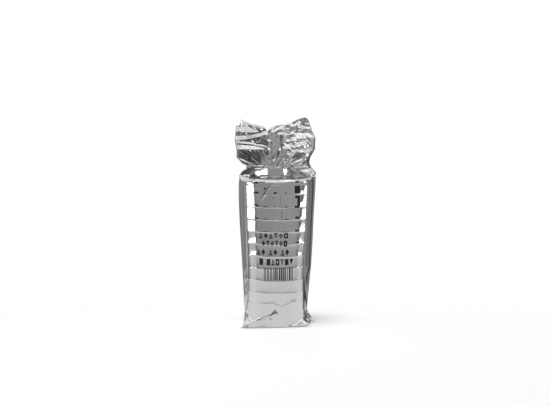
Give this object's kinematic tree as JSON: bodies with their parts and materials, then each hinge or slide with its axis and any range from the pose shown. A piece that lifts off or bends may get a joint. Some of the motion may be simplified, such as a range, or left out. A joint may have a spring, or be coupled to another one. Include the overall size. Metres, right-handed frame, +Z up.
{
  "type": "coffee bag",
  "caption": "Upright foil bag packed tight round a stack of round coffee pads, hooped by their rims, gathered at a neck and crumpled above it, with its bottom seal folded under.",
  "frame": {"origin": "on the flat underside, on the axis of the stack of pads", "axes": "+Z up along the stack; -Y is the printed front; +X is to the right as seen from the front"},
  "size_m": [0.0817, 0.0661, 0.2044],
  "materials": {
    "foil": "bright metallised foil"
  },
  "bodies": {
    "root": {"foil_bag": "foil"}
  },
  "joints": []
}
